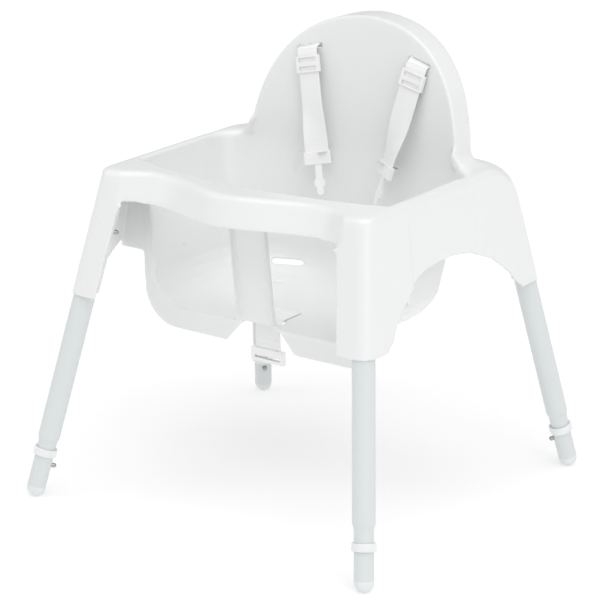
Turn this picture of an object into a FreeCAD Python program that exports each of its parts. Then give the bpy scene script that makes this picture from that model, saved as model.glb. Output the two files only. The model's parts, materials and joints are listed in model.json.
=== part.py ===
import FreeCAD, Part
import math
import os

V = FreeCAD.Vector
doc = FreeCAD.newDocument("baby_high_chair")

# ---------------------------------------------------------------- dimensions
# Millimetres and degrees. Frame: ground centre is the origin, +Z up, the chair
# faces -Y and its left hand side is +X.
DIMS = [
    ("rim_z", 430, "height of the flat arm tops"),
    ("socket_z", 268, "height of the open lower ends of the leg sockets"),
    ("rim_half_x", 204, "half width over the arms at rim height"),
    ("rim_half_y", 167.5, "half depth of the shell at rim height"),
    ("splay_x", 0.165, "sideways spread of the legs and skirt per mm down"),
    ("splay_rear", 0.155, "sideways spread at the rear legs per mm down"),
    ("splay_y", 0.2275, "fore and aft spread of the legs and skirt per mm down"),
    ("wall", 3, "moulded wall thickness"),
    ("corner_rad", 17, "corner radius of the skirt round each leg"),
    ("shoulder_rad", 34, "radius of the rounded rear shoulders"),
    ("edge_rad", 5, "radius of the front and side top edges"),
    ("rear_edge_rad", 24, "radius of the rear top edge"),
    ("wing_w", 46, "width of the front and rear socket wings across the chair"),
    ("wing_d", 47, "width of the socket wings along the sides"),
    ("arch_z", 392, "underside of the front bar"),
    ("arch_rad", 19, "radius between the front bar and the socket wings"),
    ("side_arch_z", 345, "top of the arch in each side skirt"),
    ("rear_arch_z", 348, "top of the arch in the rear skirt"),
    ("bar_inset", 34, "distance of the bar's ends inside the arm faces"),
    ("tub_half_x", 190, "half width inside the seat at rim height"),
    ("tub_low_x", 171, "half width inside the seat low down"),
    ("tub_floor_z", 245, "upper side of the seat floor"),
    ("tub_floor_rad", 48, "radius between seat floor and seat sides"),
    ("tub_front_y", 100, "distance of the seat lip ahead of the centre"),
    ("bar_bulge", 31, "forward bow of the inner side of the front bar"),
    ("web_up", 63, "lower edge of the web between tub and sockets above the floor"),
    ("back_y", 122, "backrest surface behind the centre at rim height"),
    ("back_lean", 0.075, "backward lean of the backrest per mm up"),
    ("back_depth", 60, "hollow of the backrest in plan"),
    ("hood_top_z", 597, "top of the backrest front edge"),
    ("hood_inset", 27, "how far the backrest's foot stands inside the seat width"),
    ("hood_flange", 39, "depth of the rim turned back round the backrest"),
    ("lip_flange", 13, "width of the flange at the sides of the seat front"),
    ("lip_drop", 32, "depth of the front lip below the seat floor"),
    ("post_half_x", 28, "half width of the crotch post"),
    ("hole_inset", 3, "distance of the leg openings inside the low seat sides"),
    ("slit_x", 99, "waist strap slit off the middle"),
    ("slit_up", 17, "waist strap slit above the seat floor"),
    ("slit_w", 46, "width of a waist strap slit"),
    ("slit_h", 3.4, "height of a waist strap slit"),
    ("tube_dia", 28, "leg tube outside diameter"),
    ("stub_dia", 24, "reduced lower end of the leg tube"),
    ("tube_wall", 1.5, "leg tube wall"),
    ("socket_gap", 0.1, "radial gap of a leg in its socket"),
    ("foot_rad", 12, "radius of the domed foot"),
    ("cap_band", 2, "straight band of the foot cap above the dome"),
    ("cap_plug", 18, "length of the foot cap plug inside the tube"),
    ("swage_from", 63, "start of the tube taper above the foot centre"),
    ("swage_len", 7, "length of the tube taper"),
    ("leg_top_z", 395, "height of the leg tube's upper end"),
    ("button_dia", 6, "snap button diameter"),
    ("button_up", 6.5, "how far a lower snap button stands out"),
    ("button_at", 33, "lower snap button above the foot centre"),
    ("upper_button_z", 351, "height of the upper snap buttons"),
    ("upper_button_up", 8.5, "how far an upper snap button stands out"),
    ("collar_dia", 30, "collar ring outside diameter"),
    ("collar_len", 10, "collar ring length"),
    ("collar_gap", 0.25, "radial gap of a collar on the tube"),
    ("strap_w", 31, "harness webbing width"),
    ("strap_t", 1.6, "harness webbing thickness"),
    ("strap_run", 139, "straight length of a shoulder strap in front"),
    ("strap_flat", 72, "length of a shoulder strap above its turn"),
    ("strap_turn", 32, "degrees that a shoulder strap turns inwards"),
    ("strap_gap", 0.4, "clearance of webbing in its buckles"),
    ("crotch_w", 38, "crotch strap width"),
    ("slot_x", 86, "shoulder slot off the middle"),
    ("slot_drop", 49, "shoulder slot below the top of the backrest"),
    ("slot_side", 2.5, "clearance of the webbing at each end of a harness slot"),
    ("anchor_over", 5, "length of an anchor rod past each end of its slot"),
    ("slot_len", 5.5, "height of the harness slots"),
]
sheet = doc.addObject("Spreadsheet::Sheet", "dims")
for row, (alias, value, note) in enumerate(DIMS, 1):
    sheet.set("A%d" % row, alias)
    sheet.set("B%d" % row, str(value))
    sheet.set("C%d" % row, note)
    sheet.setAlias("B%d" % row, alias)
doc.recompute()


def dim(alias):
    return float(sheet.get(alias))


RIM = dim("rim_z")
SOCK = dim("socket_z")
WALL = dim("wall")
NODES = []


def keep(label, obj):
    """Name an object as a node of the chair."""
    obj.Label = label
    NODES.append((label, obj))
    return obj


# ------------------------------------------------------------ shape helpers
def face(wire):
    return Part.Face(wire)


def outline(points, closed=True):
    pts = [V(*p) for p in points]
    if closed:
        pts.append(pts[0])
    return Part.makePolygon(pts)


def spline(points):
    curve = Part.BSplineCurve()
    curve.interpolate([V(*p) for p in points])
    return curve.toShape()


def line(a, b):
    return Part.makeLine(V(*a), V(*b))


def loft(wires, ruled=True):
    return Part.makeLoft(wires, True, ruled)


def grown(z, off):
    """Half sizes of the skirt at height z, moved outwards by off."""
    front = dim("rim_half_x") + dim("splay_x") * (RIM - z) + off
    rear = dim("rim_half_x") + dim("splay_rear") * (RIM - z) + off
    deep = dim("rim_half_y") + dim("splay_y") * (RIM - z) + off
    return front, rear, deep


def ring(z, front_x, rear_x, front_y, rear_y, front_rad, rear_rad):
    """Rounded four-sided wire at height z between y = -front_y and y = rear_y."""
    spec = [
        (rear_x, rear_y, rear_rad, 1, 1),
        (rear_x, rear_y, rear_rad, -1, 1),
        (front_x, front_y, front_rad, -1, -1),
        (front_x, front_y, front_rad, 1, -1),
    ]
    arcs = []
    for half_x, half_y, r, sx, sy in spec:
        cx, cy = sx * (half_x - r), sy * (half_y - r)
        k = r * math.sqrt(0.5)
        on_x, on_y = V(cx + sx * r, cy, z), V(cx, cy + sy * r, z)
        first, last = (on_x, on_y) if sx * sy > 0 else (on_y, on_x)
        arcs.append((first, V(cx + sx * k, cy + sy * k, z), last))
    edges = []
    for i, (first, mid, last) in enumerate(arcs):
        edges.append(Part.Arc(first, mid, last).toShape())
        edges.append(Part.makeLine(last, arcs[(i + 1) % 4][0]))
    return Part.Wire(edges)


def inset(radius, below):
    """How far a quarter round of this radius has drawn in, below the top."""
    if below >= radius:
        return 0.0
    return radius - math.sqrt(radius * radius - (radius - below) ** 2)


def skirt_block(off, low):
    """Tapered block under the rim; off moves every face outwards."""
    top = RIM + min(off, 0)
    soft = dim("edge_rad") + min(off, 0)
    rear = dim("rear_edge_rad") + min(off, 0)
    wires = []
    for below in [top - low, 48, 36, 24, 15, 8, 4, 1.5, 0]:
        z = top - below
        fx, rx, hy = grown(z, off)
        side = inset(soft, below)
        back = inset(rear, below)
        bulge = max(0.0, 1 - below / 48.0) ** 2
        rear_rad = dim("corner_rad") + off + dim("shoulder_rad") * bulge
        wires.append(ring(z, fx - side, rx - side, hy - side, hy - back, dim("corner_rad") + off, rear_rad))
    return loft(wires)


def leg_axis(z, sx, sy):
    """Point of a leg's axis at height z."""
    r = dim("corner_rad")
    fx, rx, hy = grown(z, 0)
    return V(sx * ((rx if sy > 0 else fx) - r), sy * (hy - r), z)


def lip_low():
    """Height of the lower edge of the front lip."""
    return dim("tub_floor_z") - dim("lip_drop")


def tub_plan(z, off):
    """Half width, rear and depth of the tub's rounded back at height z."""
    floor = dim("tub_floor_z") - off
    rad = dim("tub_floor_rad") + off
    bend_z = floor + rad
    share = min(1.0, (max(z, bend_z) - bend_z) / (RIM - bend_z))
    half = dim("tub_low_x") + (dim("tub_half_x") - dim("tub_low_x")) * share + off
    drawn = 0.0
    if z < bend_z:
        drawn = rad - math.sqrt(max(0.0, rad * rad - (bend_z - z) ** 2))
    half -= drawn
    depth = dim("back_depth") + max(0.0, RIM - max(z, bend_z)) / 6.0
    rear = dim("back_y") + dim("back_lean") * (z - RIM) + off - 0.8 * drawn
    return half, rear, depth


def tub_section(z, off):
    """Closed wire of the seat tub at height z; off moves the wall outwards."""
    half, rear, depth = tub_plan(z, off)
    bow = dim("bar_bulge") * (min(z, RIM) - lip_low()) / (RIM - lip_low())
    front = dim("tub_front_y") + off
    wide = dim("tub_half_x")
    lead = []
    for i in range(9):
        x = -half + 2 * half * i / 8.0
        lead.append((x, -front - bow * (1 - (x / wide) ** 2), z))
    arc = []
    for i in range(17):
        a = math.pi * i / 16.0
        arc.append((half * math.cos(a), rear - depth + depth * math.sin(a), z))
    arc[0] = (half, rear - depth, z)
    arc[-1] = (-half, rear - depth, z)
    return Part.Wire([spline(lead), line(lead[-1], arc[0]), spline(arc), line(arc[-1], lead[0])])


def tub_block(off, top):
    floor = dim("tub_floor_z") - off
    rad = dim("tub_floor_rad") + off
    levels = [floor + rad * (1 - math.cos(math.radians(a))) for a in (0, 15, 30, 45, 60, 75, 90)]
    levels[0] = floor
    wires = [tub_section(z, off) for z in levels]
    wires[0] = tub_section(floor + 0.02, off)
    wires[0].translate(V(0, 0, -0.02))
    bend_z = floor + rad
    wires += [tub_section(bend_z + (RIM - 1 - bend_z) * share, off) for share in (0.27, 0.64, 1)]
    if top > RIM:
        wires += [tub_section(z, off) for z in (RIM + 10, top)]
    return loft(wires)


def prism_x(points, x0, x1):
    """Solid from a closed (y, z) outline, between x0 and x1."""
    return face(outline([(x0, y, z) for y, z in points])).extrude(V(x1 - x0, 0, 0))


def prism_y(points, y0, y1):
    """Solid from a closed (x, z) outline, between y0 and y1."""
    return face(outline([(x, y0, z) for x, z in points])).extrude(V(0, y1 - y0, 0))


def arc_points(cx, cz, r, a0, a1, steps=8):
    pts = []
    for i in range(steps + 1):
        a = math.radians(a0 + (a1 - a0) * i / steps)
        pts.append((cx + r * math.cos(a), cz + r * math.sin(a)))
    return pts


# --------------------------------------------------------------- seat shell
# Front of the bar: share of its half length, how far ahead of the arms, and flare.
BAR_LINE = [(0, 10.5, 13), (0.2, 3.5, 14), (0.376, -7.5, 16), (0.588, -18.5, 16)]
BAR_LINE += [(0.776, -20.5, 15), (0.894, -12.5, 12), (1, 0.1, 8.65)]
# Edges of the side arch, the rear arch and the backrest, as shares of width and height.
SIDE_ARCH = [(-1, 0.03), (-0.921, 0.13), (-0.851, 0.34), (-0.686, 0.62), (-0.464, 0.91), (-0.318, 0.97)]
SIDE_ARCH += [(-0.152, 1), (0.006, 1.01), (0.152, 0.97), (0.292, 0.92), (0.572, 0.69), (0.781, 0.38)]
SIDE_ARCH += [(0.902, 0.13), (0.978, 0.04)]
REAR_ARCH = [(1, 0.025), (0.929, 0.125), (0.82, 0.3625), (0.612, 0.725), (0.328, 0.9375), (0, 1)]
HOOD_EDGE = [(1, 0), (0.966, 0.162), (0.926, 0.323), (0.865, 0.485), (0.788, 0.617), (0.687, 0.737)]
HOOD_EDGE += [(0.546, 0.85), (0.405, 0.922), (0.221, 0.976)]


def bar_half():
    return dim("rim_half_x") - dim("bar_inset")


def bar_block(off):
    """Front bar body; its front face bows forward in the middle."""
    top = RIM + min(off, 0)
    low = dim("arch_z") + off
    wires = []
    for z in (low, (low + top) / 2.0, top - 5, top - 3, top - 1.2, top):
        t = (RIM - z) / (RIM - dim("arch_z"))
        soft = inset(dim("edge_rad") + min(off, 0), top - z)
        arm_y = dim("rim_half_y")
        knots = [(bar_half() * share, arm_y + ahead + flare * t) for share, ahead, flare in BAR_LINE]
        if off < 0:
            knots = knots[:-1]
        lead = [(-x, -y - off + soft, z) for x, y in reversed(knots[1:])]
        lead += [(x, -y - off + soft, z) for x, y in knots]
        end = knots[-1][0]
        rear = 2 - dim("tub_front_y")
        wires.append(Part.Wire([
            spline(lead),
            line(lead[-1], (end, rear, z)),
            line((end, rear, z), (-end, rear, z)),
            line((-end, rear, z), lead[0]),
        ]))
    return loft(wires)


def hood_prism(off):
    """Outline of the backrest from the front, run through from front to rear."""
    tall = dim("hood_top_z") - RIM
    foot = dim("tub_half_x") - dim("hood_inset")
    rows = [(RIM + tall * up, foot * share) for share, up in HOOD_EDGE]
    side = []
    for i, (z, w) in enumerate(rows):
        z0, w0 = rows[max(i - 1, 0)]
        z1, w1 = rows[min(i + 1, len(rows) - 1)]
        n = math.hypot(z1 - z0, w0 - w1)
        side.append((w + off * (z1 - z0) / n, z + off * (w0 - w1) / n))
    top = (0.0, dim("hood_top_z") + off)
    pts = [(x, z) for x, z in side] + [top] + [(-x, z) for x, z in reversed(side)]
    y0 = dim("back_y") - 102
    low = RIM - 30
    curve = spline([(x, y0, z) for x, z in pts])
    x0, z0 = side[0]
    base = [(-x0, y0, z0), (-x0, y0, low), (x0, y0, low), (x0, y0, z0)]
    legs = [line(a, b) for a, b in zip(base, base[1:])]
    return face(Part.Wire([curve] + legs)).extrude(V(0, 230, 0))


def hood_slab(front, rear):
    """Curved slab following the backrest, from front to rear of its surface in y."""
    wires = []
    for z in (RIM - 25, dim("hood_top_z") + 3):
        back = dim("back_y") + dim("back_lean") * (z - RIM)
        depth = dim("back_depth")
        half = dim("tub_half_x")
        edge = []
        for shift in (front, rear):
            pts = []
            for i in range(21):
                x = (half - 12) * (1 - i / 10.0)
                y = back - depth + depth * math.sqrt(1 - (x / half) ** 2)
                pts.append((x, y + shift, z))
            edge.append(pts)
        wires.append(Part.Wire([
            spline(edge[0]),
            line(edge[0][-1], edge[1][-1]),
            spline(list(reversed(edge[1]))),
            line(edge[1][0], edge[0][0]),
        ]))
    return loft(wires)


def slanted_tube(base, top, r):
    axis = top - base
    return Part.makeCylinder(r, axis.Length, base, axis)


LEGS = [("front_left", 1, -1), ("front_right", -1, -1), ("rear_left", 1, 1), ("rear_right", -1, 1)]


def build_shell():
    outer = skirt_block(0, SOCK)
    inner = skirt_block(-WALL, SOCK - 1)
    tub_out = tub_block(WALL, RIM - 1)
    tub_in = tub_block(0, dim("hood_top_z") + 20)
    skirt = outer.cut(inner)

    # The front is open between the leg sockets, up to the bar.
    front, rear, deep = grown(SOCK, 0)
    front_y = dim("tub_front_y")
    far_x, far_y = front + 30, deep + 66
    bow = dim("arch_z") - dim("arch_rad")
    low_x = front - dim("wing_w")
    high_x = grown(bow, 0)[0] - dim("wing_w")
    half = [(low_x, SOCK - 9), (low_x, SOCK), (high_x, bow)]
    half += arc_points(high_x - dim("arch_rad"), bow, dim("arch_rad"), 0, 90)
    opening = half + [(-x, z) for x, z in reversed(half)]
    skirt = skirt.cut(prism_y(opening, -far_y, -front_y))
    end = bar_half() - 2
    above = [(end, dim("arch_z") - 1), (end, RIM + 2), (-end, RIM + 2), (-end, dim("arch_z") - 1)]
    skirt = skirt.cut(prism_y(above, -far_y, -front_y))

    # Arches in both side skirts and in the rear skirt.
    span = deep - dim("wing_d")
    rise = dim("side_arch_z") - SOCK
    side = [(-span, SOCK - 9)] + [(span * at_y, SOCK + rise * up) for at_y, up in SIDE_ARCH]
    side += [(span * SIDE_ARCH[-1][0], SOCK - 9)]
    skirt = skirt.cut(prism_x(side, -far_x, -50)).cut(prism_x(side, 50, far_x))
    span = rear - dim("wing_w")
    rise = dim("rear_arch_z") - SOCK
    half = [(span, SOCK - 9)] + [(span * at_x, SOCK + rise * up) for at_x, up in REAR_ARCH]
    skirt = skirt.cut(prism_y(half + [(-x, z) for x, z in reversed(half[:-1])], 50, far_y))

    bar = bar_block(0).cut(bar_block(-WALL))
    web_low = dim("tub_floor_z") + dim("web_up")
    web = Part.makeBox(2 * far_x, WALL, RIM - 1 - web_low, V(-far_x, -front_y - WALL, web_low)).common(outer)
    lip = dim("lip_flange")
    u_half = dim("tub_low_x") + lip
    u_rad = dim("tub_floor_rad") + 4
    u = arc_points(u_half - u_rad, lip_low() + u_rad, u_rad, 0, -90)
    u = [(u_half + 3, web_low + 20)] + u
    u = u + [(-x, z) for x, z in reversed(u)]
    flange = prism_y(u, -front_y - WALL, -front_y)

    bosses = []
    for _, sx, sy in LEGS:
        boss = slanted_tube(leg_axis(SOCK - 12, sx, sy), leg_axis(RIM + 12, sx, sy), dim("corner_rad"))
        bosses.append(boss.common(outer))

    shell = skirt.fuse([bar, web, flange, tub_out] + bosses)

    # Backrest: curved wall, with its rim turned back all round.
    tall = hood_prism(0)
    wall = hood_slab(-12, WALL).common(tall)
    band = tall.cut(hood_prism(-WALL))
    flange_back = hood_slab(-12, dim("hood_flange")).common(band)
    cap = Part.makeBox(2 * far_x, 2 * far_y, dim("hood_top_z"), V(-far_x, -far_y, RIM - WALL / 2))
    hood = wall.fuse(flange_back).common(cap)
    shell = shell.fuse(hood).cut(tub_in)

    # Leg openings either side of the crotch post, and the post's forward flanges.
    post = dim("post_half_x")
    floor = dim("tub_floor_z")
    hole = [(post, dim("arch_z"))] + arc_points(post + 10, floor + 11, 10, 180, 270, 4)
    hole_x = dim("tub_low_x") - dim("hole_inset")
    hole += arc_points(hole_x - 38, floor + 35, 34, -90, 0, 6)
    hole += [(hole_x - 2, dim("arch_z") - 72), (hole_x, dim("arch_z"))]
    for sx in (1, -1):
        shell = shell.cut(prism_y([(sx * x, z) for x, z in hole], -front_y - 60, 22 - front_y))
    side = [(-front_y - 35, dim("arch_z") + 2), (-front_y - 16, floor + 2)]
    side += [(8 - front_y, floor + 2), (-front_y - 12, dim("arch_z") + 2)]
    ribs = [prism_x(side, post - WALL, post), prism_x(side, -post, WALL - post)]
    shell = shell.fuse([r.cut(tub_in) for r in ribs])

    # Notch in the lip under the post, and the harness slots.
    wide = post + 26
    notch = [(wide, lip_low() - 8), (wide, lip_low()), (post - 4, floor + 1)]
    notch += [(-x, z) for x, z in reversed(notch)]
    shell = shell.cut(prism_y(notch, -front_y - 25, 4 - front_y))
    slot = dim("crotch_w") + 6
    shell = shell.cut(Part.makeBox(slot, 14, 20, V(-slot / 2, 10 - front_y, floor - 12)))
    for sx in (1, -1):
        slot_w = dim("strap_w") + 2 * dim("slot_side")
        cutter = Part.makeBox(slot_w, 60, dim("slot_len"))
        cutter.Placement = strap_frame(sx).multiply(FreeCAD.Placement(
            V(-slot_w / 2, -30, -dim("slot_len") / 2), FreeCAD.Rotation()))
        shell = shell.cut(cutter)
        slit_w, slit_h = dim("slit_w"), dim("slit_h")
        slit = Part.makeBox(slit_w, 40, slit_h, V(-slit_w / 2, -20, -slit_h / 2))
        turn = FreeCAD.Rotation(V(0, 0, 1), -sx * 35.5)
        slit_z = floor + dim("slit_up")
        tub_half, tub_rear, depth = tub_plan(slit_z, WALL / 2)
        slit_y = tub_rear - depth + depth * math.sqrt(1 - (dim("slit_x") / tub_half) ** 2) + 12
        slit.Placement = FreeCAD.Placement(V(sx * dim("slit_x"), slit_y, slit_z), turn)
        shell = shell.cut(slit)

    # Sockets are bored for the legs, with a hole for each upper snap button.
    bore = dim("tube_dia") / 2 + dim("socket_gap")
    for name, sx, sy in LEGS:
        top = leg_axis(dim("leg_top_z") + 0.3, sx, sy)
        shell = shell.cut(slanted_tube(leg_axis(SOCK - 14, sx, sy), top, bore))
        place = upper_frame(sx, sy)
        hole = Part.makeCylinder(dim("button_dia") / 2 + 0.4, 34, V(0, 0, 0), V(1, 0, 0))
        hole.Placement = place
        shell = shell.cut(hole)
    return shell


# ----------------------------------------------------------- placed frames
def frame_of(base, along, facing):
    """Placement with local +Z along the first vector and +X towards the second."""
    z = V(along).normalize()
    x = V(facing) - z * (V(facing).dot(z))
    x.normalize()
    return FreeCAD.Placement(base, FreeCAD.Rotation(x, z.cross(x), z, "ZXY"))


def leg_frame(sx, sy):
    """Foot centre, +Z up the leg, +X facing inwards."""
    base = leg_axis(dim("foot_rad"), sx, sy)
    up = leg_axis(RIM, sx, sy) - base
    return frame_of(base, up, V(-base.x, -base.y, 0))


def upper_frame(sx, sy):
    """Centre of the upper snap button, +X facing inwards."""
    base = leg_axis(dim("upper_button_z"), sx, sy)
    up = leg_axis(RIM, sx, sy) - base
    return frame_of(base, up, V(-base.x, -base.y, 0))


def strap_frame(sx):
    """Shoulder slot centre; local -Z runs down the strap, local -Y faces forward."""
    z = dim("hood_top_z") - dim("slot_drop")
    x = dim("slot_x")
    back = dim("back_y") + dim("back_lean") * (z - RIM)
    half = dim("tub_half_x")
    depth = dim("back_depth")
    y = back - depth + depth * math.sqrt(1 - (x / half) ** 2) + WALL / 2
    run = V(sx * 33, 21, 143)
    across = V(1, 0, 0)
    zed = V(run).normalize()
    ex = across - zed * across.dot(zed)
    ex.normalize()
    return FreeCAD.Placement(V(sx * x, y, z), FreeCAD.Rotation(ex, zed.cross(ex), zed, "ZXY"))


# ---------------------------------------------------------- document objects
def prim(kind, name, place=None, **bound):
    """Part primitive whose sizes follow the sheet."""
    obj = doc.addObject("Part::" + kind, name)
    for prop, text in bound.items():
        obj.setExpression(prop, text)
    if place is not None:
        obj.Placement = place
    return obj


def at(x, y, z, axis=None):
    turn = FreeCAD.Rotation() if axis is None else FreeCAD.Rotation(V(0, 0, 1), V(*axis))
    return FreeCAD.Placement(V(x, y, z), turn)


def fuse(name, shapes):
    obj = doc.addObject("Part::MultiFuse", name)
    obj.Shapes = shapes
    return obj


def cut(name, base, tool):
    obj = doc.addObject("Part::Cut", name)
    obj.Base = base
    obj.Tool = tool
    return obj


def coded(name, shape, place=None):
    """Feature for a shape that no primitive describes."""
    obj = doc.addObject("Part::Feature", name)
    obj.Shape = shape
    if place is not None:
        obj.Placement = place
    return obj


STRETCH = "sqrt(1 + dims.splay_%s ^ 2 + dims.splay_y ^ 2)"
keep("seat_shell", coded("Shell", build_shell()))


def add_leg(tag, place, up_place):
    """Tapered steel leg tube with two button holes."""
    full = "(dims.leg_top_z - dims.foot_rad) * %s" % (STRETCH % ("rear" if "rear" in tag else "x"))
    split = dim("swage_from") + dim("swage_len")
    solids = []
    for grow, extra, word in ((0, 0, "Out"), (1, 1, "In")):
        less = "- dims.tube_wall * %d" % grow
        stub = prim("Cylinder", "Stub%s_%s" % (word, tag), at(0, 0, dim("cap_band") - extra),
                    Radius="dims.stub_dia / 2 %s" % less,
                    Height="dims.swage_from - dims.cap_band + %d" % extra)
        cone = prim("Cone", "Swage%s_%s" % (word, tag), at(0, 0, dim("swage_from")),
                    Radius1="dims.stub_dia / 2 %s" % less,
                    Radius2="dims.tube_dia / 2 %s" % less,
                    Height="dims.swage_len")
        main = prim("Cylinder", "Main%s_%s" % (word, tag), at(0, 0, split),
                    Radius="dims.tube_dia / 2 %s" % less,
                    Height="%s - dims.swage_from - dims.swage_len + %d" % (full, extra))
        solids.append(fuse("Tube%s_%s" % (word, tag), [stub, cone, main]))
    low = prim("Cylinder", "LowHole_%s" % tag, at(0, 0, dim("button_at"), (1, 0, 0)),
               Radius="dims.button_dia / 2 + 0.2", Height="dims.tube_dia")
    high = prim("Cylinder", "HighHole_%s" % tag,
                place.inverse().multiply(up_place).multiply(at(0, 0, 0, (1, 0, 0))),
                Radius="dims.button_dia / 2 + 0.2", Height="dims.tube_dia")
    tool = fuse("Hollow_%s" % tag, [solids[1], low, high])
    leg = cut("Leg_%s" % tag, solids[0], tool)
    leg.Placement = place
    return keep("leg_" + tag, leg)


def add_foot(tag, place):
    """Domed plastic foot cap with its plug."""
    ball = prim("Sphere", "Dome_%s" % tag, None, Radius="dims.foot_rad", Angle1="-90", Angle2="0")
    band = prim("Cylinder", "Band_%s" % tag, None, Radius="dims.foot_rad", Height="dims.cap_band")
    plug = prim("Cylinder", "Plug_%s" % tag, None,
                Radius="dims.stub_dia / 2 - dims.tube_wall - 0.15", Height="dims.cap_plug")
    cap = fuse("Foot_%s" % tag, [ball, band, plug])
    cap.Placement = place
    return keep("foot_cap_" + tag, cap)


def add_collar(tag, place, height):
    """Loose plastic ring on the reduced end of the leg."""
    ring_out = prim("Cylinder", "RingOut_%s" % tag, at(0, 0, 0),
                    Radius="dims.collar_dia / 2", Height="dims.collar_len")
    ring_in = prim("Cylinder", "RingIn_%s" % tag, at(0, 0, -1),
                   Radius="dims.stub_dia / 2 + dims.collar_gap", Height="dims.collar_len + 2")
    collar = cut("Collar_%s" % tag, ring_out, ring_in)
    collar.Placement = place.multiply(at(0, 0, height - dim("collar_len") / 2))
    return keep("collar_" + tag, collar)


def add_button(label, name, place, seat, tip):
    """Steel snap button with the bent leaf spring it is riveted to."""
    r = dim("button_dia") / 2
    pin = Part.makeCylinder(r, tip - r - seat, V(seat, 0, 0), V(1, 0, 0))
    head = Part.makeSphere(r, V(tip - r, 0, 0))
    s0 = seat - 7
    leaf = [(7, -10), (7.8, -10), (7.8, 29.8), (6.6, 31.2), (5, 30.2), (-3, -7.8), (-2.2, -8.1)]
    leaf += [(5.6, 28.4), (6.6, 30.1), (7, 29.2)]
    strip = face(outline([(x + s0, -4, z) for x, z in leaf])).extrude(V(0, 8, 0))
    return keep(label, coded(name, pin.fuse([head, strip]).removeSplitter(), place))


# Each collar rests this far above the lower snap button.
COLLAR_UP = {"front_left": 1.5, "front_right": 9, "rear_left": 4, "rear_right": 4}
for tag, sx, sy in LEGS:
    place = leg_frame(sx, sy)
    up_place = upper_frame(sx, sy)
    add_leg(tag, place, up_place)
    add_foot(tag, place)
    stub = dim("stub_dia") / 2
    tube = dim("tube_dia") / 2
    rest = dim("button_at") + dim("button_dia") / 2 + dim("collar_len") / 2
    add_collar(tag, place, rest + COLLAR_UP[tag])
    inside = dim("tube_wall") + 3.5
    low_place = place.multiply(at(0, 0, dim("button_at")))
    add_button("foot_button_" + tag, "FootButton_" + tag, low_place, stub - inside, stub + dim("button_up"))
    add_button("socket_button_" + tag, "SocketButton_" + tag, up_place, tube - inside,
               tube + dim("upper_button_up"))


# ------------------------------------------------------------------ harness
def ribbon(path, width, thick):
    """Flat webbing: the path is (forward, up) pairs in the strap's own frame."""
    left = []
    right = []
    for i, (y, z) in enumerate(path):
        y0, z0 = path[max(i - 1, 0)]
        y1, z1 = path[min(i + 1, len(path) - 1)]
        n = math.hypot(y1 - y0, z1 - z0)
        ny, nz = -(z1 - z0) / n * thick / 2, (y1 - y0) / n * thick / 2
        left.append((y + ny, z + nz))
        right.append((y - ny, z - nz))
    pts = left + list(reversed(right))
    return face(outline([(-width / 2, y, z) for y, z in pts])).extrude(V(width, 0, 0))


def turned(width, thick, y, z_top, z_low, turn):
    """Webbing that turns about its own middle line between two heights."""
    wires = []
    for i in range(11):
        share = i / 10.0
        a = math.radians(turn * share * share * (3 - 2 * share))
        pts = []
        for u, v in ((-1, -1), (1, -1), (1, 1), (-1, 1)):
            p, q = u * width / 2, v * thick / 2
            flat_x, flat_y = p * math.cos(a) - q * math.sin(a), p * math.sin(a) + q * math.cos(a)
            pts.append((flat_x, y + flat_y, z_top + (z_low - z_top) * share))
        wires.append(outline(pts))
    return loft(wires)


for side, sx in (("left", 1), ("right", -1)):
    place = strap_frame(sx)
    w, t_web = dim("strap_w"), dim("strap_t")
    run, gap = dim("strap_run"), dim("strap_gap")
    front = -WALL - 4.4
    path = [(8.3, -2.2), (7.2, 1.2), (4.5, 2.0), (0, 1.2), (-4, -0.8), (-6.6, -4.5)]
    flat, turn = dim("strap_flat"), -sx * dim("strap_turn")
    path += [(front, -9), (front, -flat)]
    about = at(0, front, 0).multiply(FreeCAD.Placement(V(0, 0, 0), FreeCAD.Rotation(V(0, 0, 1), turn)))
    about = about.multiply(at(0, -front, 0))
    tail = Part.makeBox(w, t_web, 6, V(-w / 2, front - t_web / 2, -run))
    tail.Placement = about
    web = ribbon(path, w, t_web).fuse([turned(w, t_web, front, -flat, 6 - run, turn), tail])
    keep("shoulder_strap_" + side, coded("Strap_" + side, web, place))
    long = dim("strap_w") + 2 * dim("slot_side") + 2 * dim("anchor_over")
    bar = Part.makeCylinder(2.2, long, V(-long / 2, 8.6, -5.6), V(1, 0, 0))
    keep("strap_anchor_" + side, coded("Anchor_" + side, bar, place))
    body = Part.makeBox(w + 4, 6, 22, V(-w / 2 - 2, front - 3, -34))
    lane = Part.makeBox(w + 2 * gap, t_web + 2 * gap, 24, V(-w / 2 - gap, front - t_web / 2 - gap, -35))
    window = Part.makeBox(w - 5, 4, 5.5, V(2.5 - w / 2, front - 4.6, -31.5))
    other = Part.makeBox(w - 5, 4, 5.5, V(2.5 - w / 2, front - 4.6, -20))
    keep("strap_adjuster_" + side, coded("Adjuster_" + side, body.cut(lane).cut(window).cut(other), place))
    frame = Part.makeBox(w + 4, 6, 17, V(-w / 2 - 2, front - 3, -run - 15))
    pocket = Part.makeBox(w + gap, t_web + gap, 15.2, V(-(w + gap) / 2, front - (t_web + gap) / 2, -run - 12))
    prong = Part.makeBox(9, 4, 36, V(-4.5, front - 2, -run - 51))
    tip = Part.makeCylinder(4.5, 4, V(0, front - 2, -run - 51), V(0, 1, 0))
    nub = Part.makeBox(14, 4, 9, V(-7, front - 2, -run - 44))
    tongue = frame.cut(pocket).fuse([prong, tip, nub]).removeSplitter()
    keep("buckle_tongue_" + side, coded("Tongue_" + side, tongue, place.multiply(about)))

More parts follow.
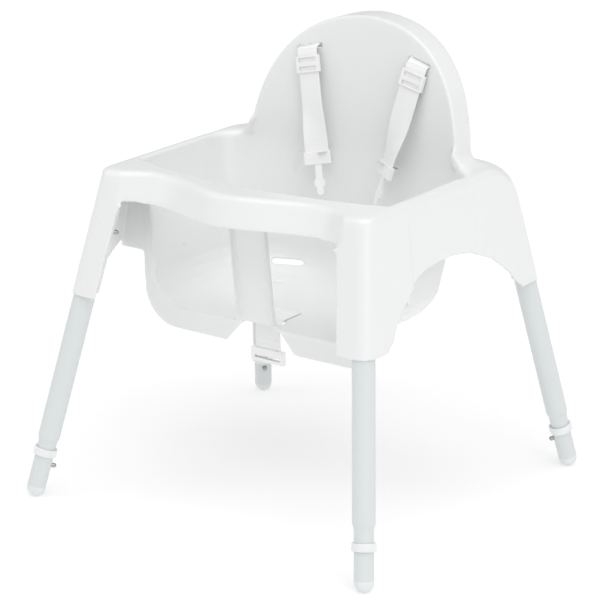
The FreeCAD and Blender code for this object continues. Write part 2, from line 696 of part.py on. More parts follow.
crotch_w, web_t, gap = dim("crotch_w"), dim("strap_t"), dim("strap_gap")
floor = dim("tub_floor_z")
drop_y = 14.5 - dim("tub_front_y")
path = [(drop_y + 45.5, floor + 1.1), (drop_y + 11.5, floor + 1.1), (drop_y + 6.5, floor + 0.6)]
path += [(drop_y + 2.5, floor - 2), (drop_y, floor - 7), (drop_y, floor - 42)]
keep("crotch_strap", coded("CrotchStrap", ribbon(path, crotch_w, web_t)))
lock = Part.makeBox(crotch_w + 12, 6, 18, V(-crotch_w / 2 - 6, drop_y - 3, floor - 56))
lane_w, lane_t = crotch_w + gap, web_t + gap
lane = Part.makeBox(lane_w, lane_t, 16, V(-lane_w / 2, drop_y - lane_t / 2, floor - 54))
slot_a = Part.makeBox(crotch_w + 2, 20, 3.4, V(-crotch_w / 2 - 1, drop_y - 9.5, floor - 51.5))
lock = lock.cut(lane).cut(slot_a)
keep("crotch_buckle", coded("CrotchBuckle", lock))

# -------------------------------------------------------------- check, write
doc.recompute()
os.makedirs("parts", exist_ok=True)
for label, obj in NODES:
    shape = obj.Shape
    state = " ".join(obj.State)
    good = not shape.isNull() and shape.isValid() and "Invalid" not in state and "Error" not in state
    word = "ok" if good else "BAD " + state
    print("%-28s %s solids %d volume %.1f" % (label, word, len(shape.Solids), shape.Volume))
    if not good or not shape.Solids:
        raise SystemExit("bad shape: " + label)
    shape.exportStep("parts/%s.step" % label)
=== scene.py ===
import json
import math

import bmesh
import bpy
import numpy as np
from mathutils import Matrix, Vector


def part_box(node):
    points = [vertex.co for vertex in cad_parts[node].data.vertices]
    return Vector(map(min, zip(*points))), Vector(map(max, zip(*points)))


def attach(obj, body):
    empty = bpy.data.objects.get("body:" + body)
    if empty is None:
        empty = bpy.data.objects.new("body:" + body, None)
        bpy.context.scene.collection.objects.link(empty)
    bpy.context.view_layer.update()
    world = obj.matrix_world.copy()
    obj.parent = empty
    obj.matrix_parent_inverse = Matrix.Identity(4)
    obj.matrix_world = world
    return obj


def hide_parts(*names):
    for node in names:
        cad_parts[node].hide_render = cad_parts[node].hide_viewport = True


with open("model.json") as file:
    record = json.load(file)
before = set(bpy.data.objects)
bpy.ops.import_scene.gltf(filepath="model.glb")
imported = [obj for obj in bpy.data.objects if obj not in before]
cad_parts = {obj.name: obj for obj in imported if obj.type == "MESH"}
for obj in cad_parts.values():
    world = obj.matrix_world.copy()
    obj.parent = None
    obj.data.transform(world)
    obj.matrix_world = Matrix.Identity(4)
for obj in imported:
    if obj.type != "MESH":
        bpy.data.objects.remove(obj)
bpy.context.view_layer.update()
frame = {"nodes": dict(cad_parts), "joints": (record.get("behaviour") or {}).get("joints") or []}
world = bpy.context.scene.collection


# ------------------------------------------------------------------ studio
# A pale flat floor under white soft light. Two large panels stand in front of the
# chair, left and right, and a wide soft light shines down from above.
AIM = Vector((0, 0, 0.300))
AROUND, ABOVE = math.radians(35.48), math.radians(18.11)
FAR, ASIDE, LOWER = 3.1895, 0.00959, 0.0482

back = Vector((
    math.sin(AROUND) * math.cos(ABOVE),
    -math.cos(AROUND) * math.cos(ABOVE),
    math.sin(ABOVE),
))
right = Vector((math.cos(AROUND), math.sin(AROUND), 0))
up = back.cross(right)
lens = bpy.data.cameras.new("camera")
lens.sensor_width = 36
lens.lens = 149.67
camera = bpy.data.objects.new("camera", lens)
camera.matrix_world = Matrix.Translation(AIM + back * FAR - right * ASIDE - up * LOWER) @ Matrix(
    (right, up, back)).transposed().to_4x4()
world.objects.link(camera)
bpy.context.scene.camera = camera
bpy.context.scene.view_settings.view_transform = "Standard"

sky = bpy.data.worlds.new("soft_room")
sky.use_nodes = True
sky.node_tree.nodes["Background"].inputs["Color"].default_value = (1, 1, 1, 1)
sky.node_tree.nodes["Background"].inputs["Strength"].default_value = 0.46
bpy.context.scene.world = sky

PANELS = [
    # name, place, size, watts
    ("panel_right", (2.6, -1.2, 1.7), 1.8, 11),
    ("panel_left", (-2.4, -1.6, 2.0), 2.0, 10),
]
for name, place, side, watts in PANELS:
    lamp = bpy.data.lights.new(name, "AREA")
    lamp.size = side
    lamp.energy = watts
    panel = bpy.data.objects.new(name, lamp)
    panel.matrix_world = Matrix.Translation(place) @ (
        (Vector(place) - AIM).to_track_quat("Z", "Y").to_matrix().to_4x4())
    world.objects.link(panel)
ceiling = bpy.data.lights.new("ceiling_light", "SUN")
ceiling.energy = 1.6
ceiling.angle = math.radians(75)
ceiling_light = bpy.data.objects.new("ceiling_light", ceiling)
ceiling_light.matrix_world = Vector((0.25, -0.2, 1)).to_track_quat("Z", "Y").to_matrix().to_4x4()
world.objects.link(ceiling_light)

FLOOR_HALF = 60
floor_corners = [(x * FLOOR_HALF, y * FLOOR_HALF, 0) for x, y in ((-1, -1), (1, -1), (1, 1), (-1, 1))]
floor_mesh = bpy.data.meshes.new("floor")
floor_mesh.from_pydata(floor_corners, [], [(0, 1, 2, 3)])
floor = bpy.data.objects.new("floor", floor_mesh)
paper = bpy.data.materials.new("floor_paper")
paper.use_nodes = True
paper_shader = paper.node_tree.nodes["Principled BSDF"].inputs
paper_shader["Base Color"].default_value = (0.62, 0.62, 0.62, 1)
paper_shader["Emission Color"].default_value = (1, 1, 1, 1)
paper_shader["Emission Strength"].default_value = 0.42
paper_shader["Roughness"].default_value = 0.9
floor_mesh.materials.append(paper)
world.objects.link(floor)


# -------------------------------------------------------------- seat shell
# One injection moulding in glossy white polypropylene: tub, hooded back, arms,
# front bar, skirts and the four leg sockets. Every edge is a soft moulded round.
class Flow:
    """A socket in a material; arithmetic on it adds Math nodes."""

    def __init__(self, tree, socket=None):
        self.tree = tree
        self.socket = socket

    def node(self, kind, settings=None, sockets=None, out=0):
        made = self.tree.nodes.new(kind)
        for name, value in (settings or {}).items():
            setattr(made, name, value)
        for key, value in (sockets or {}).items():
            if isinstance(value, Flow):
                self.tree.links.new(value.socket, made.inputs[key])
            else:
                made.inputs[key].default_value = value
        return Flow(self.tree, made.outputs[out])

    def math(self, operation, first, second):
        return self.node("ShaderNodeMath", {"operation": operation}, {0: first, 1: second})

    def __add__(self, other):
        return self.math("ADD", self, other)

    def __radd__(self, other):
        return self.math("ADD", other, self)

    def __sub__(self, other):
        return self.math("SUBTRACT", self, other)

    def __rsub__(self, other):
        return self.math("SUBTRACT", other, self)

    def __mul__(self, other):
        return self.math("MULTIPLY", self, other)

    def __rmul__(self, other):
        return self.math("MULTIPLY", other, self)

    def into(self, shader, socket):
        self.tree.links.new(self.socket, shader.inputs[socket])


def new_material(name, fixed):
    """A material, its shader and its Object coordinates; fixed holds the constants."""
    made = bpy.data.materials.new(name)
    made.use_nodes = True
    shader = made.node_tree.nodes["Principled BSDF"]
    for socket, value in fixed.items():
        shader.inputs[socket].default_value = value
    return made, shader, Flow(made.node_tree).node("ShaderNodeTexCoord", out="Object")


def noise(place, scale, detail=3.0, rough=0.5):
    return place.node("ShaderNodeTexNoise", sockets={
        "Vector": place, "Scale": scale, "Detail": detail, "Roughness": rough})


def mix_colours(factor, dark, light):
    return factor.node("ShaderNodeMix", {"data_type": "RGBA"}, {
        0: factor, 6: (*dark, 1), 7: (*light, 1)}, out=2)


def bumps(height, distance, strength=1.0):
    return height.node("ShaderNodeBump", sockets={
        "Strength": strength, "Distance": distance, "Height": height}, out="Normal")


SHELL_WHITE, SHELL_SHADE = (0.862, 0.868, 0.866), (0.848, 0.856, 0.855)
shell_plastic, shader, place = new_material("shell_plastic", {
    "IOR": 1.49, "Coat Weight": 0.25, "Coat Roughness": 0.08,
    "Subsurface Weight": 0.06, "Subsurface Radius": (0.004, 0.004, 0.004)})
cloud = noise(place, 6, 2)
flow_marks = noise(place, 17, 2)
peel = noise(place, 240, 1)
mix_colours(cloud, SHELL_SHADE, SHELL_WHITE).into(shader, "Base Color")
(0.24 + flow_marks * 0.12).into(shader, "Roughness")
bumps(peel * 0.4 + flow_marks * 3, 0.00008).into(shader, "Normal")

VOXEL = 0.0019
RIM_HEIGHT, HOOD_HALF, FOOT_ROUND = 0.430, 0.163, 0.024
BAR_END, BAR_FRONT = 0.170, -0.168


def join_wedge(work, inner, height, radius, near, far, side):
    """Concave fillet strip at the foot of the hood, run from near to far along the arm."""
    ring = [(inner - 0.004, height - 0.002), (inner + radius, height - 0.002)]
    for step in range(9):
        turn = math.radians(90 * step / 8)
        ring.append((inner + radius * (1 - math.sin(turn)), height + radius * (1 - math.cos(turn))))
    ring.append((inner - 0.006, height + radius))
    ends = []
    for y in (near, far):
        ends.append([work.verts.new((side * x, y, z)) for x, z in ring])
    count = len(ring)
    for i in range(count):
        k = (i + 1) % count
        work.faces.new((ends[0][i], ends[0][k], ends[1][k], ends[1][i]))
    work.faces.new(list(reversed(ends[0])))
    work.faces.new(ends[1])


shell = bpy.data.objects.new("moulded_seat_shell", frame["nodes"]["seat_shell"].data.copy())
world.objects.link(shell)
shell.data.materials.clear()
work = bmesh.new()
work.from_mesh(shell.data)
bmesh.ops.remove_doubles(work, verts=work.verts, dist=0.000001)
cad_faces = set(work.faces)
SLIT_HEIGHT, SLIT_OUT, SLIT_EASE = 0.262, 0.099, 0.0008
for corner in work.verts:
    x, y, z = corner.co
    if abs(z - SLIT_HEIGHT) < 0.0024 and abs(abs(x) - SLIT_OUT) < 0.0240:
        corner.co.z += math.copysign(SLIT_EASE, z - SLIT_HEIGHT)
for side in (1, -1):
    join_wedge(work, HOOD_HALF - 0.003, RIM_HEIGHT, FOOT_ROUND, 0.0900, 0.1310, side)
bmesh.ops.recalc_face_normals(work, faces=[f for f in work.faces if f not in cad_faces])
work.to_mesh(shell.data)
work.free()


def apply_all(piece):
    """Turn a piece's modifiers into its plain mesh."""
    graph = bpy.context.evaluated_depsgraph_get()
    plain = bpy.data.meshes.new_from_object(piece.evaluated_get(graph))
    piece.modifiers.clear()
    piece.vertex_groups.clear()
    piece.data = plain
    return piece


def fade(distance, reach):
    """1 at distance 0, falling smoothly to 0 at reach."""
    t = np.clip(1 - distance / reach, 0, 1)
    return t * t * (3 - 2 * t)


def soften(piece, name, weights, rounds):
    """Round off the part of a mesh that the weights pick out."""
    group = piece.vertex_groups.new(name=name)
    for level in range(1, 11):
        chosen = np.nonzero(np.rint(weights * 10) == level)[0]
        group.add(chosen.tolist(), level / 10, "REPLACE")
    relax = piece.modifiers.new(name, "SMOOTH")
    relax.factor = 0.5
    relax.iterations = rounds
    relax.vertex_group = name


skin = shell.modifiers.new("skin", "REMESH")
skin.mode = "VOXEL"
skin.voxel_size = VOXEL
skin.use_smooth_shade = True
apply_all(shell)
spots = np.empty(len(shell.data.vertices) * 3)
shell.data.vertices.foreach_get("co", spots)
spots = spots.reshape(-1, 3)
across, along, height = np.abs(spots[:, 0]), spots[:, 1], spots[:, 2]

# Both side panels lie a little deeper than the sockets at their ends.
PANEL_DEPTH, SKIRT_INNER = 0.0022, 0.1965
PANEL_FRONT, FRONT_SLANT, FRONT_STEP = -0.081, 0.10, 0.0030
PANEL_REAR, REAR_SLANT, REAR_LEVEL, REAR_STEP = 0.070, 0.16, 0.38, 0.0026
PANEL_TOP, TOP_STEP = RIM_HEIGHT - 0.012, 0.014
panel_front = PANEL_FRONT - FRONT_SLANT * (RIM_HEIGHT - height)
panel_rear = PANEL_REAR - REAR_SLANT * (REAR_LEVEL - height)
inside = np.clip((along - panel_front) / FRONT_STEP, 0, 1)
inside = inside * np.clip((panel_rear - along) / REAR_STEP, 0, 1)
inside = inside * np.clip((PANEL_TOP - height) / TOP_STEP, 0, 1) * (across > SKIRT_INNER)
spots[:, 0] -= np.sign(spots[:, 0]) * PANEL_DEPTH * inside * inside * (3 - 2 * inside)
shell.data.vertices.foreach_set("co", spots.ravel())

even = shell.modifiers.new("even", "SMOOTH")
even.factor = 0.5
even.iterations = 4

# The corners where the front bar meets the arms.
BAR_MIDDLE, CORNER_REACH, CORNER_TALL = 0.412, 0.036, 0.040
bar_ends = fade(np.hypot(across - BAR_END, (along - BAR_FRONT) * 0.8), CORNER_REACH)
bar_ends = bar_ends * fade(np.abs(height - BAR_MIDDLE), CORNER_TALL)
soften(shell, "bar_ends", bar_ends, 90)

# The rolled front edge of the hood: where it lies, and the hood's outline.
EDGE_FRONT, BACK_BOW, TUB_HALF, BACK_LEAN, EDGE_SET = 0.062, 0.060, 0.190, 0.075, 0.012
EDGE_REACH, EDGE_LOW, EDGE_HIGH, EDGE_BAND = 0.017, 0.446, 0.565, 0.016
HOOD_TALL, HOOD_ROUND = 0.167, 2.3
wall_front = EDGE_FRONT + BACK_BOW * np.sqrt(np.clip(1 - (across / TUB_HALF) ** 2, 0, 1))
wall_front = wall_front + BACK_LEAN * (height - RIM_HEIGHT) - EDGE_SET
hood_edge = fade(np.abs(along - wall_front), EDGE_REACH) * (height > EDGE_LOW) * (inside < 0.5)
outline = np.clip(1 - ((height - RIM_HEIGHT) / HOOD_TALL) ** HOOD_ROUND, 0, 1)
hood_front = HOOD_HALF * np.sqrt(outline)
hood_edge = hood_edge * ((across > hood_front - EDGE_BAND) | (height > EDGE_HIGH))
soften(shell, "hood_edge", hood_edge, 110)

# The foot of the hood, where its sides run out into the arms.
FOOT_OUT, FOOT_UP, FOOT_REACH, FOOT_NEAR, FOOT_INNER = 0.180, 0.442, 0.036, 0.05, 0.157
hood_foot = fade(np.hypot(across - FOOT_OUT, (height - FOOT_UP) * 0.9), FOOT_REACH)
hood_foot = hood_foot * (along > FOOT_NEAR) * (across > FOOT_INNER)
soften(shell, "hood_foot", hood_foot, 110)

# The brim of the tub, and the front edge of the seat that the legs hang over.
BRIM_REACH, BRIM_OUT, BRIM_REAR = 0.010, 0.199, 0.155
seat_brim = fade(np.abs(height - RIM_HEIGHT), BRIM_REACH) * (across < BRIM_OUT) * (along < BRIM_REAR)
soften(shell, "seat_brim", seat_brim, 14)
LIP_FRONT, LIP_UP, LIP_REACH, LIP_INNER, LIP_OUTER = 0.101, 0.246, 0.013, 0.030, 0.165
waterfall = fade(np.hypot((along + LIP_FRONT) * 0.8, (height - LIP_UP) * 0.8), LIP_REACH)
waterfall = waterfall * (across > LIP_INNER) * (across < LIP_OUTER)
soften(shell, "waterfall", waterfall, 30)

thin = shell.modifiers.new("thin", "DECIMATE")
thin.ratio = 0.22
apply_all(shell)
shell.data.materials.append(shell_plastic)
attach(shell, "chair")
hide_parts("seat_shell")


# ---------------------------------------------------------------- leg tubes
# Steel tube, drawn in at the lower end and powder coated in cool white, pushed
# up into the sockets of the shell and held there by the upper snap buttons.
LEG_PAINT, LEG_SHADE = (0.72, 0.752, 0.758), (0.705, 0.74, 0.747)
LEGS = ["front_left", "front_right", "rear_left", "rear_right"]
leg_paint, shader, place = new_material("leg_powder_coat", {"IOR": 1.5, "Metallic": 0.0})
grain = noise(place, 900, 1)
drift = noise(place, 14, 2)
mix_colours(drift, LEG_SHADE, LEG_PAINT).into(shader, "Base Color")
(0.34 + drift * 0.1).into(shader, "Roughness")
bumps(grain, 0.00003).into(shader, "Normal")
for leg in LEGS:
    tube = frame["nodes"]["leg_" + leg]
    tube.data.materials.clear()
    tube.data.materials.append(leg_paint)


# ---------------------------------------------------------------- foot caps
# Domed cap in slightly translucent white plastic, plugged into each leg's end.
# The dome carries the fine scuffs of standing and sliding on floors.
foot_plastic, shader, place = new_material("foot_cap_plastic", {
    "IOR": 1.47, "Subsurface Weight": 0.25, "Subsurface Radius": (0.003, 0.003, 0.003)})
scuff = noise(place, 160, 4, 0.7)
low_down = place.node("ShaderNodeSeparateXYZ", sockets={0: place}, out="Z")
worn = low_down.node("ShaderNodeMapRange", {"clamp": True}, {
    "Value": low_down, "From Min": 0.0, "From Max": 0.010, "To Min": 1.0, "To Max": 0.0})
mix_colours(worn * scuff, (0.80, 0.825, 0.825), (0.70, 0.71, 0.70)).into(shader, "Base Color")
(0.38 + worn * scuff * 0.35).into(shader, "Roughness")
bumps(scuff * worn, 0.0002).into(shader, "Normal")
for leg in LEGS:
    cap = frame["nodes"]["foot_cap_" + leg]
    cap.data.materials.clear()
    cap.data.materials.append(foot_plastic)


# ------------------------------------------------------------------ collars
# Loose ring of clear white plastic on the drawn-in end of each leg; it covers
# the joint when an extension leg is pushed on. Moulded, with rounded edges.
def rounded_copy(node, name, radius, material, body):
    """A CAD piece with its sharp moulded edges rounded off."""
    piece = bpy.data.objects.new(name, frame["nodes"][node].data.copy())
    world.objects.link(piece)
    piece.data.materials.clear()
    piece.data.materials.append(material)
    work = bmesh.new()
    work.from_mesh(piece.data)
    bmesh.ops.remove_doubles(work, verts=work.verts, dist=0.000002)
    bmesh.ops.dissolve_limit(work, angle_limit=math.radians(2), verts=work.verts, edges=work.edges)
    for edge in work.edges:
        edge.smooth = True
    for face in work.faces:
        face.smooth = True
    work.to_mesh(piece.data)
    work.free()
    round_off = piece.modifiers.new("round_off", "BEVEL")
    round_off.width = radius
    round_off.segments = 3
    round_off.limit_method = "ANGLE"
    round_off.angle_limit = math.radians(34)
    round_off.harden_normals = True
    apply_all(piece)
    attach(piece, body)
    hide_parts(node)
    return piece


collar_plastic, shader, place = new_material("collar_plastic", {
    "IOR": 1.49, "Subsurface Weight": 0.15, "Subsurface Radius": (0.002, 0.002, 0.002)})
haze = noise(place, 120, 2)
mix_colours(haze, (0.84, 0.855, 0.86), (0.87, 0.88, 0.88)).into(shader, "Base Color")
(0.2 + haze * 0.1).into(shader, "Roughness")
bumps(haze, 0.00005).into(shader, "Normal")
for leg in LEGS:
    rounded_copy("collar_" + leg, "ring_" + leg, 0.0009, collar_plastic, "collar_" + leg)


# ------------------------------------------------------------- snap buttons
# Bright steel pins with domed heads, riveted to bent leaf springs inside the
# tube; pressed in with a thumb to free a leg.
button_steel, shader, place = new_material("button_steel", {"Metallic": 1.0})
turning = place.node("ShaderNodeTexNoise", sockets={
    "Vector": place.node("ShaderNodeMapping", sockets={"Vector": place, "Scale": (1, 1, 14)}),
    "Scale": 260.0, "Detail": 3.0})
mix_colours(turning, (0.36, 0.36, 0.37), (0.52, 0.52, 0.53)).into(shader, "Base Color")
(0.22 + turning * 0.18).into(shader, "Roughness")
bumps(turning, 0.00004).into(shader, "Normal")
for leg in LEGS:
    for where in ("foot", "socket"):
        pin = frame["nodes"]["%s_button_%s" % (where, leg)]
        pin.data.materials.clear()
        pin.data.materials.append(button_steel)


# ------------------------------------------------------------------ harness
# Flat white polyester webbing, woven in a fine herringbone with firm edges. Two
# shoulder straps come out of slots in the back, each round a rod behind the slot,
# and a wide crotch strap lies on the seat and drops over its front.
webbing_cloth, shader, place = new_material("white_webbing", {
    "IOR": 1.46, "Sheen Weight": 0.25, "Sheen Roughness": 0.5,
    "Subsurface Weight": 0.08, "Subsurface Radius": (0.002, 0.002, 0.002)})
cloth_map = place.node("ShaderNodeUVMap", {"uv_map": "weave"})
over = cloth_map.node("ShaderNodeSeparateXYZ", sockets={0: cloth_map}, out="X")
down = cloth_map.node("ShaderNodeSeparateXYZ", sockets={0: cloth_map}, out="Y")
RIB, YARN = 0.0052, 0.00105
zigzag = over.math("PINGPONG", over, RIB)
weft = (down + zigzag * 0.8).math("PINGPONG", down + zigzag * 0.8, YARN) * (1 / YARN)
warp = over.math("PINGPONG", over, YARN * 0.6) * (1 / (YARN * 0.6))
thread = weft * 0.7 + warp * 0.3
wear = noise(place, 55, 3)
WEBBING_SHADE, WEBBING_WHITE = (0.88, 0.885, 0.885), (0.965, 0.968, 0.968)
mix_colours(thread * 0.75 + wear * 0.25, WEBBING_SHADE, WEBBING_WHITE).into(shader, "Base Color")
(0.62 + thread * 0.18).into(shader, "Roughness")
bumps(thread, 0.00022, 0.7).into(shader, "Normal")


def smooth_line(points, step):
    """Points along a smooth curve through the given ones, about step apart."""
    points = [Vector(p) for p in points]
    ends = [points[0] * 2 - points[1]] + points + [points[-1] * 2 - points[-2]]
    line = []
    for p0, p1, p2, p3 in zip(ends, ends[1:], ends[2:], ends[3:]):
        count = max(2, round((p2 - p1).length / step))
        for i in range(count):
            t = i / count
            line.append(0.5 * (2 * p1 + (p2 - p0) * t + (2 * p0 - 5 * p1 + 4 * p2 - p3) * t * t
                               + (3 * p1 - p0 - 3 * p2 + p3) * t * t * t))
    return line + [points[-1]]


def lay_webbing(name, node, line, width, thick, to_place, turn_at):
    """A band of webbing along a line of (y, z) points, turned about its middle line."""
    work = bmesh.new()
    cloth_uv = work.loops.layers.uv.new("weave")
    half, soft = width / 2, thick / 2
    edge = [(half - soft * (1 - math.sin(math.radians(a))), soft * math.cos(math.radians(a)))
            for a in (0, 30, 60, 90, 120, 150, 180)]
    flat = [half * k / 4 for k in (-3, -2, -1, 0, 1, 2, 3)]
    ring = [(-x, y) for x, y in reversed(edge)] + [(x, soft) for x in flat]
    ring += edge + [(x, -soft) for x in reversed(flat)]
    rows, travelled = [], 0.0
    for i, point in enumerate(line):
        ahead = line[min(i + 1, len(line) - 1)] - line[max(i - 1, 0)]
        ahead.normalize()
        if i:
            travelled += (point - line[i - 1]).length
        a = turn_at(point[1])
        row = []
        for x, y in ring:
            side_x = x * math.cos(a) - y * math.sin(a)
            side_y = x * math.sin(a) + y * math.cos(a)
            row.append(work.verts.new(to_place(
                side_x, point[0] + side_y * -ahead[1], point[1] + side_y * ahead[0])))
        rows.append((row, travelled))
    count = len(ring)
    for (row_a, v_a), (row_b, v_b) in zip(rows, rows[1:]):
        for i in range(count):
            k = (i + 1) % count
            face = work.faces.new((row_a[i], row_a[k], row_b[k], row_b[i]))
            face.smooth = True
            for loop, (u, v) in zip(face.loops, (
                    (ring[i][0], v_a), (ring[k][0], v_a), (ring[k][0], v_b), (ring[i][0], v_b))):
                loop[cloth_uv].uv = (u + half, v)
    work.faces.new(list(reversed(rows[0][0])))
    work.faces.new(rows[-1][0])
    bmesh.ops.recalc_face_normals(work, faces=work.faces)
    band = bpy.data.objects.new(name, bpy.data.meshes.new(name))
    work.to_mesh(band.data)
    work.free()
    band.data.materials.append(webbing_cloth)
    world.objects.link(band)
    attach(band, "chair")
    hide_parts(node)


STRAP_WIDE, STRAP_THICK, STRAP_FRONT = 0.031, 0.0016, -0.0074
FLAT_TO, TURN_TO, STRAP_END, STRAP_TURN = -0.072, -0.133, -0.139, math.radians(32)
SHOULDER_LINE = [(0.0083, -0.0022), (0.0072, 0.0012), (0.0045, 0.0020), (0, 0.0012), (-0.0040, -0.0008),
                 (-0.0066, -0.0045), (STRAP_FRONT, -0.009), (STRAP_FRONT, FLAT_TO), (STRAP_FRONT, TURN_TO),
                 (STRAP_FRONT, STRAP_END)]
HEM_ROWS, HEM_HALF, THREAD_PROUD = (-0.1225, -0.1300), 0.0125, 0.0001
stitch_rows = []
for side, sign in (("left", 1), ("right", -1)):
    joint = next(j for j in frame["joints"] if j["name"] == "adjuster_slide_" + side)
    climb = -Vector(joint["axis"]).normalized()
    sideways = (Vector((1, 0, 0)) - climb * climb.x).normalized()
    rearward = climb.cross(sideways)
    low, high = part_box("strap_adjuster_" + side)
    middle = (Vector(low) + Vector(high)) / 2
    slot_mouth = middle - rearward * STRAP_FRONT - climb * -0.023

    def on_strap(x, y, z, mouth=slot_mouth, a=sideways, b=rearward, c=climb):
        return mouth + a * x + b * y + c * z

    def strap_turn(z, sign=sign):
        t = min(1, max(0, (FLAT_TO - z) / (FLAT_TO - TURN_TO)))
        return -sign * STRAP_TURN * t * t * (3 - 2 * t)

    lay_webbing("shoulder_webbing_" + side, "shoulder_strap_" + side, smooth_line(SHOULDER_LINE, 0.0015),
                STRAP_WIDE, STRAP_THICK, on_strap, strap_turn)
    for z in HEM_ROWS:
        a = strap_turn(z)
        row = []
        for x in (-HEM_HALF, HEM_HALF):
            y = -STRAP_THICK / 2 - THREAD_PROUD
            row.append(on_strap(x * math.cos(a) - y * math.sin(a),
                                STRAP_FRONT + x * math.sin(a) + y * math.cos(a), z))
        stitch_rows.append(row)

CROTCH_WIDE = 0.038
CROTCH_LINE = [(-0.040, 0.2461), (-0.074, 0.2461), (-0.079, 0.2456), (-0.083, 0.243), (-0.0855, 0.238),
               (-0.0855, 0.203)]
lay_webbing("crotch_webbing", "crotch_strap", smooth_line(CROTCH_LINE, 0.0015), CROTCH_WIDE, STRAP_THICK,
            lambda x, y, z: Vector((x, y, z)), lambda z: 0.0)
CROTCH_HEM, DROP_FACE, SEAT_FACE = 0.016, -0.0864, 0.2470
for y, z in ((DROP_FACE, 0.2135), (DROP_FACE, 0.2205), (-0.046, SEAT_FACE), (-0.058, SEAT_FACE)):
    stitch_rows.append([Vector((-CROTCH_HEM, y, z)), Vector((CROTCH_HEM, y, z))])


def sewing():
    """Geometry Nodes: lays short rounded stitches along lines."""
    tree = bpy.data.node_groups.new("sewn_rows", "GeometryNodeTree")
    tree.interface.new_socket("Geometry", in_out="INPUT", socket_type="NodeSocketGeometry")
    for name in ("Pitch", "Stitch Length", "Thread Radius"):
        tree.interface.new_socket(name, in_out="INPUT", socket_type="NodeSocketFloat")
    tree.interface.new_socket("Thread", in_out="INPUT", socket_type="NodeSocketMaterial")
    tree.interface.new_socket("Geometry", in_out="OUTPUT", socket_type="NodeSocketGeometry")
    nodes, link = tree.nodes, tree.links.new
    given, made = nodes.new("NodeGroupInput"), nodes.new("NodeGroupOutput")
    space = nodes.new("GeometryNodeResampleCurve")
    space.mode = "LENGTH"
    bead = nodes.new("GeometryNodeMeshUVSphere")
    bead.inputs["Segments"].default_value = 6
    bead.inputs["Rings"].default_value = 4
    bead.inputs["Radius"].default_value = 1
    size = nodes.new("ShaderNodeCombineXYZ")
    along_line = nodes.new("GeometryNodeInputTangent")
    aim = nodes.new("FunctionNodeAlignRotationToVector")
    aim.axis = "Z"
    spread = nodes.new("GeometryNodeInstanceOnPoints")
    real = nodes.new("GeometryNodeRealizeInstances")
    finish = nodes.new("GeometryNodeSetMaterial")
    link(given.outputs["Geometry"], space.inputs["Curve"])
    link(given.outputs["Pitch"], space.inputs["Length"])
    link(space.outputs["Curve"], spread.inputs["Points"])
    link(bead.outputs["Mesh"], spread.inputs["Instance"])
    link(given.outputs["Thread Radius"], size.inputs["X"])
    link(given.outputs["Thread Radius"], size.inputs["Y"])
    link(given.outputs["Stitch Length"], size.inputs["Z"])
    link(size.outputs["Vector"], spread.inputs["Scale"])
    link(along_line.outputs["Tangent"], aim.inputs["Vector"])
    link(aim.outputs["Rotation"], spread.inputs["Rotation"])
    link(spread.outputs["Instances"], real.inputs["Geometry"])
    link(real.outputs["Geometry"], finish.inputs["Geometry"])
    link(given.outputs["Thread"], finish.inputs["Material"])
    link(finish.outputs["Geometry"], made.inputs["Geometry"])
    return tree


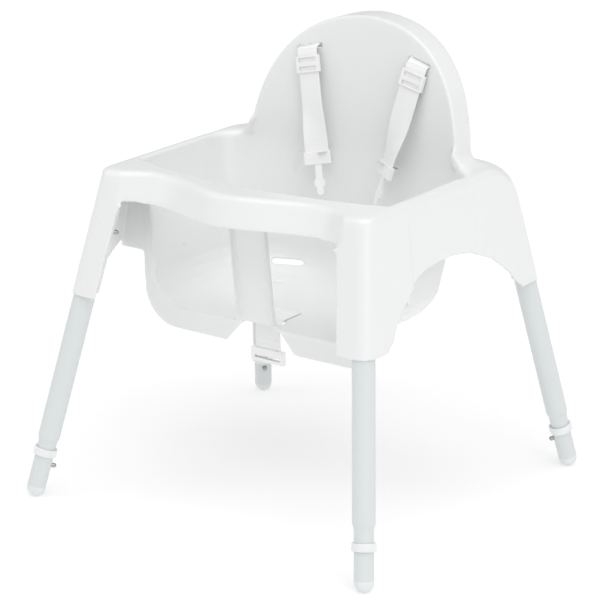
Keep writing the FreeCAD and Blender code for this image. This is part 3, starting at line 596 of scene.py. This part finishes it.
sewing_thread, shader, place = new_material("sewing_thread", {"IOR": 1.5, "Sheen Weight": 0.2})
twist = noise(place, 1400, 2)
mix_colours(twist, (0.80, 0.80, 0.79), (0.90, 0.90, 0.89)).into(shader, "Base Color")
(0.5 + twist * 0.2).into(shader, "Roughness")
bumps(twist, 0.00008).into(shader, "Normal")
lines = bpy.data.curves.new("stitch_lines", "CURVE")
lines.dimensions = "3D"
for row in stitch_rows:
    run = lines.splines.new("POLY")
    run.points.add(len(row) - 1)
    for spot, point in zip(run.points, row):
        spot.co = (*point, 1)
stitches = bpy.data.objects.new("harness_stitches_guide", lines)
world.objects.link(stitches)
sew = stitches.modifiers.new("sew", "NODES")
sew.node_group = sewing()
sockets = {s.name: s.identifier for s in sew.node_group.interface.items_tree if s.in_out == "INPUT"}
for name, value in (("Pitch", 0.0028), ("Stitch Length", 0.0010), ("Thread Radius", 0.00035),
                    ("Thread", sewing_thread)):
    sew[sockets[name]] = value
stitch_mesh = bpy.data.meshes.new_from_object(stitches.evaluated_get(bpy.context.evaluated_depsgraph_get()))
bpy.data.objects.remove(stitches)
sewn = bpy.data.objects.new("harness_stitches", stitch_mesh)
world.objects.link(sewn)
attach(sewn, "chair")


# ------------------------------------------------------------------ buckles
# Moulded white acetal: a three-bar adjuster on each shoulder strap, a barbed
# tongue sewn to its end, a rod behind the back slot and a lock on the crotch strap.
buckle_plastic, shader, place = new_material("buckle_plastic", {
    "IOR": 1.48, "Subsurface Weight": 0.12, "Subsurface Radius": (0.002, 0.002, 0.002)})
mould_haze = noise(place, 90, 2)
mix_colours(mould_haze, (0.91, 0.912, 0.908), (0.94, 0.94, 0.936)).into(shader, "Base Color")
(0.26 + mould_haze * 0.12).into(shader, "Roughness")
bumps(mould_haze, 0.00006).into(shader, "Normal")


def moulded_copy(node, name, body):
    """A CAD buckle piece with the soft round edges of a small moulding."""
    piece = bpy.data.objects.new(name, frame["nodes"][node].data.copy())
    world.objects.link(piece)
    piece.data.materials.clear()
    work = bmesh.new()
    work.from_mesh(piece.data)
    bmesh.ops.remove_doubles(work, verts=work.verts, dist=0.000002)
    work.to_mesh(piece.data)
    work.free()
    skin = piece.modifiers.new("skin", "REMESH")
    skin.mode = "VOXEL"
    skin.voxel_size = 0.0004
    skin.use_smooth_shade = True
    relax = piece.modifiers.new("relax", "SMOOTH")
    relax.factor = 0.5
    relax.iterations = 5
    thin = piece.modifiers.new("thin", "DECIMATE")
    thin.ratio = 0.35
    apply_all(piece)
    piece.data.materials.append(buckle_plastic)
    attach(piece, body)
    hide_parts(node)


for side in ("left", "right"):
    moulded_copy("strap_adjuster_" + side, "adjuster_" + side, "strap_adjuster_" + side)
    moulded_copy("buckle_tongue_" + side, "tongue_" + side, "chair")
    rod = frame["nodes"]["strap_anchor_" + side]
    rod.data.materials.clear()
    rod.data.materials.append(buckle_plastic)
moulded_copy("crotch_buckle", "crotch_lock", "chair")
